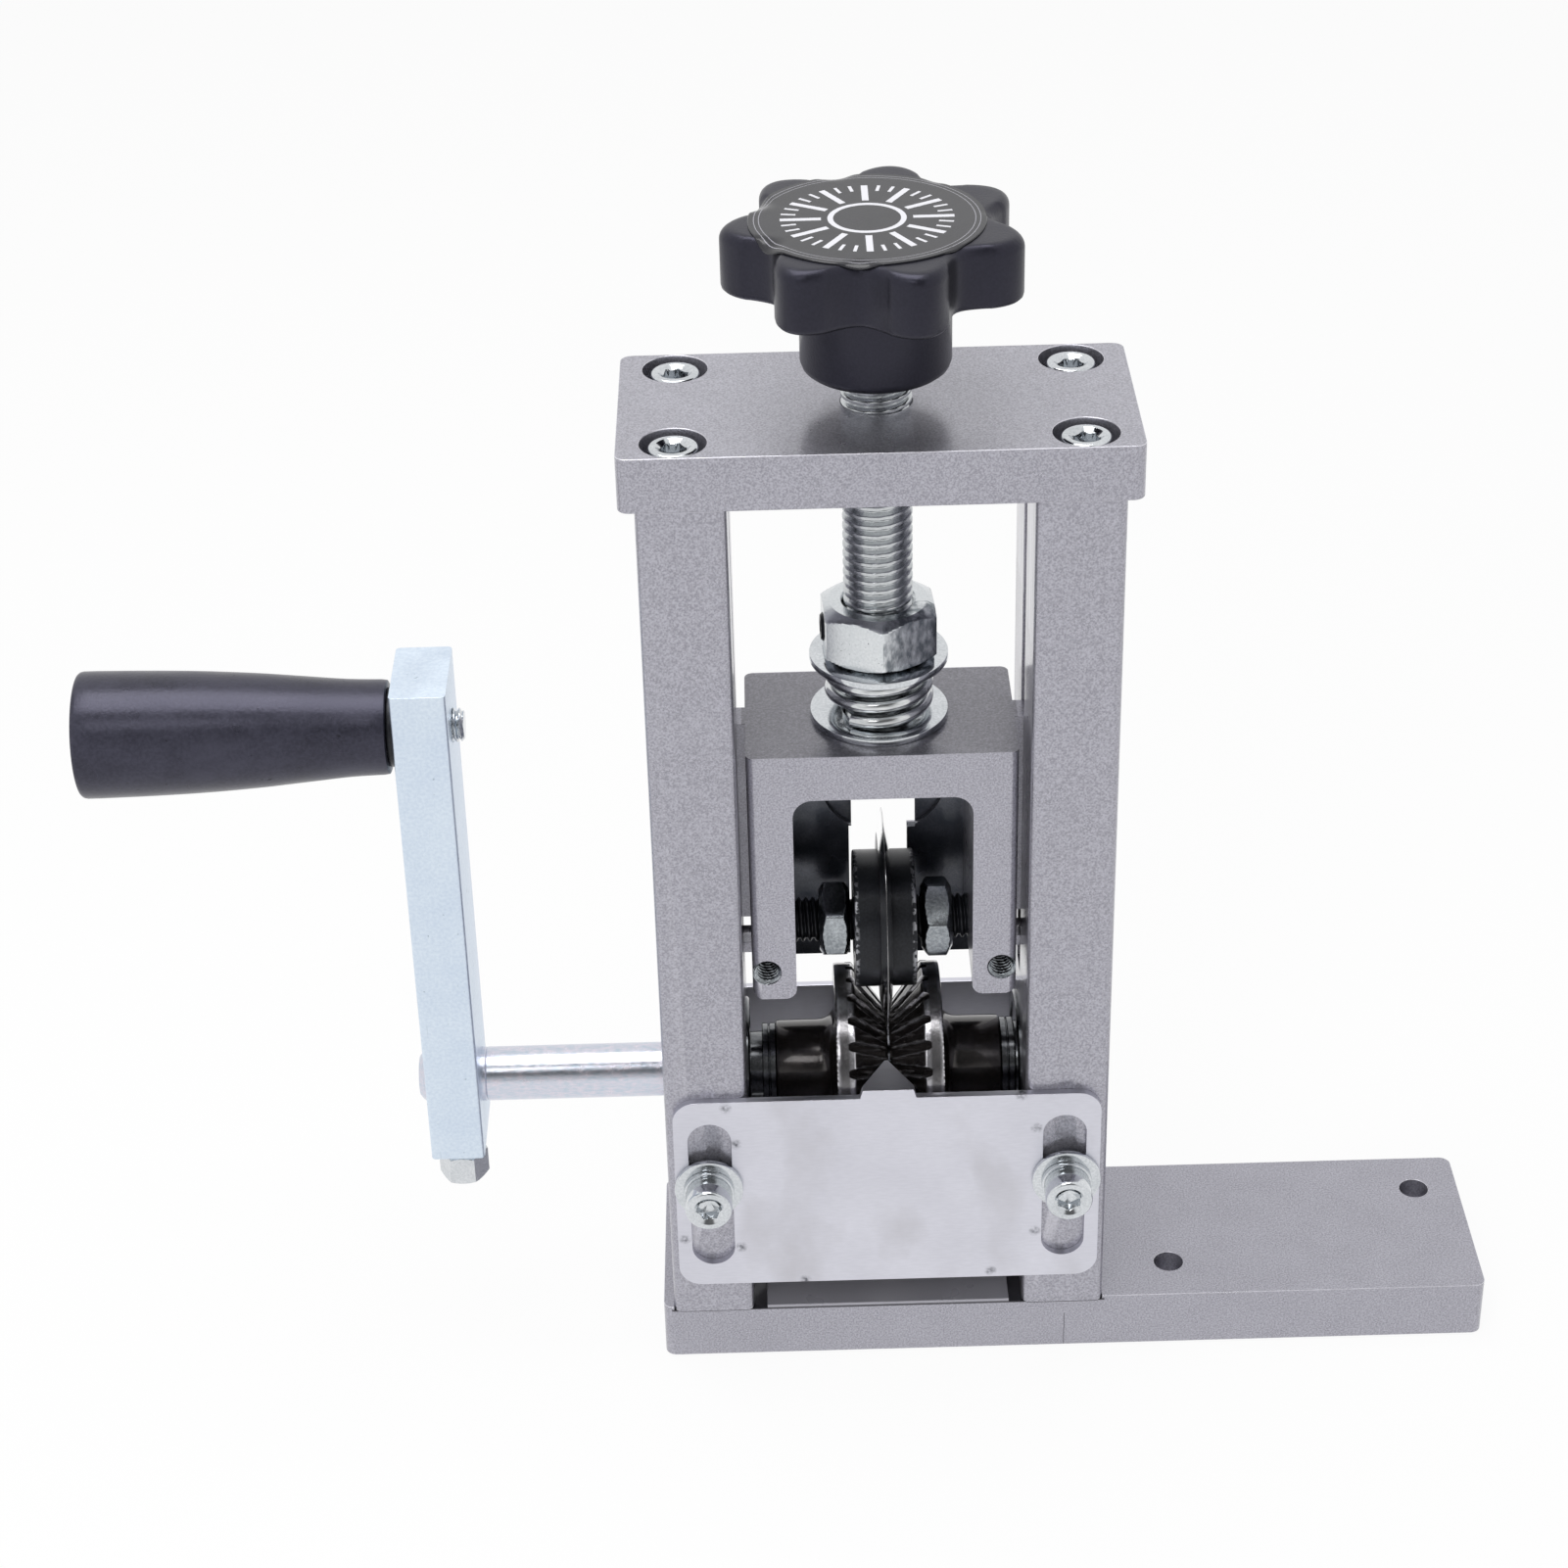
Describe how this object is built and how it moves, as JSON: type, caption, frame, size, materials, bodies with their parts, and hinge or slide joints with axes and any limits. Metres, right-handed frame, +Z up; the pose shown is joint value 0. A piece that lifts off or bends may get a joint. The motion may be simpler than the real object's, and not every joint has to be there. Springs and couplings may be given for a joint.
{
  "type": "hand crank wire stripper",
  "caption": "Bench tool with a crank on a shaft with two toothed feed wheels, a spring-loaded round blade above them set by a star knob screw, and sliding guide plates.",
  "frame": {"origin": "on the underside of the base plate, midway between the two columns, at mid depth", "axes": "+X along the foot away from the crank, +Y away from the front guide plate (the way the wire travels), +Z up"},
  "size_m": [0.2509, 0.0576, 0.2193],
  "materials": {
    "grey_paint": "light grey textured powder coat",
    "zinc_plate": "bright zinc plated steel, lightly brushed",
    "plated_sheet": "zinc plated sheet",
    "bright_fastener": "bright zinc plated",
    "screw_thread": "zinc plated thread",
    "spring_wire": "zinc plated spring wire",
    "ground_steel": "ground shaft steel",
    "tool_steel": "hardened tool steel with a ground bevel",
    "black_oxide": "oiled black oxide",
    "dull_nut": "dull steel with a blue black tint",
    "bearing_steel": "ground bearing steel",
    "black_plastic": "black moulded plastic",
    "grip_plastic": "black moulded plastic, satin",
    "label_film": "dark film disc with plain ticks"
  },
  "bodies": {
    "frame": {"base_plate": "grey_paint", "left_column": "grey_paint", "right_column": "grey_paint", "top_plate": "grey_paint", "top_plate_screws": "bright_fastener", "column_foot_screws": "bright_fastener", "shaft_bearing_left": "bearing_steel", "shaft_bearing_right": "bearing_steel", "front_plate_screws": "bright_fastener", "front_plate_lock_washers": "bright_fastener", "front_plate_washers": "bright_fastener", "rear_plate_screws": "bright_fastener", "rear_plate_lock_washers": "bright_fastener", "rear_plate_washers": "bright_fastener"},
    "spring_seat": {"upper_spring_washer": "bright_fastener", "pressure_spring": "spring_wire"},
    "screw": {"lifting_screw": "screw_thread", "star_knob": "black_plastic", "knob_label": "label_film", "stop_nut": "bright_fastener", "nut_set_screw": "black_oxide", "retaining_washer": "bright_fastener", "retaining_ring": "black_oxide"},
    "carriage": {"blade_carriage": "grey_paint", "lower_spring_washer": "bright_fastener", "blade_axle": "dull_nut", "axle_set_screws": "black_oxide", "axle_nut_left": "dull_nut", "axle_nut_right": "dull_nut"},
    "blade": {"round_blade": "tool_steel", "blade_flange_left": "black_oxide", "blade_flange_right": "black_oxide", "blade_bearing": "bearing_steel"},
    "crank": {"drive_shaft": "ground_steel", "feed_wheel_left": "black_oxide", "feed_wheel_right": "black_oxide", "wheel_set_screws": "black_oxide", "shaft_spacer_left": "dull_nut", "shaft_spacer_right": "dull_nut", "crank_arm": "zinc_plate", "crank_clamp_screw": "bright_fastener", "grip_bolt": "bright_fastener", "grip_washer": "bright_fastener"},
    "grip": {"crank_grip": "grip_plastic"},
    "front_plate": {"front_guide_plate": "plated_sheet"},
    "rear_plate": {"rear_guide_plate": "plated_sheet"}
  },
  "joints": [
    {"name": "screw_feed", "type": "slide", "parent": "frame", "child": "spring_seat", "axis": [0, 0, 1], "range_m": [0, 0.027]},
    {"name": "screw_turn", "type": "hinge", "parent": "spring_seat", "child": "screw", "pos_m": [0, 0, 0.18], "axis": [0, 0, 1], "range_deg": [0, 5556]},
    {"name": "blade_float", "type": "slide", "parent": "spring_seat", "child": "carriage", "axis": [0, 0, 1], "range_m": [0, 0.0025], "stiffness_N_per_m": 10000, "springref_m": -0.002, "deforming": ["pressure_spring"]},
    {"name": "blade_spin", "type": "hinge", "parent": "carriage", "child": "blade", "pos_m": [0.0005, 0, 0.0849], "axis": [1, 0, 0], "continuous": true},
    {"name": "crank_turn", "type": "hinge", "parent": "frame", "child": "crank", "pos_m": [0, 0, 0.0525], "axis": [1, 0, 0], "continuous": true},
    {"name": "grip_spin", "type": "hinge", "parent": "crank", "child": "grip", "pos_m": [-0.113, 0, 0.1275], "axis": [1, 0, 0], "continuous": true},
    {"name": "front_plate_adjust", "type": "slide", "parent": "frame", "child": "front_plate", "axis": [0, 0, 1], "range_m": [-0.01, 0.006]},
    {"name": "rear_plate_adjust", "type": "slide", "parent": "frame", "child": "rear_plate", "axis": [0, 0, 1], "range_m": [-0.007, 0.009]}
  ],
  "couplings": [
    {"joint": "screw_turn", "follows": "screw_feed", "rad_per_m": 3590.4}
  ]
}
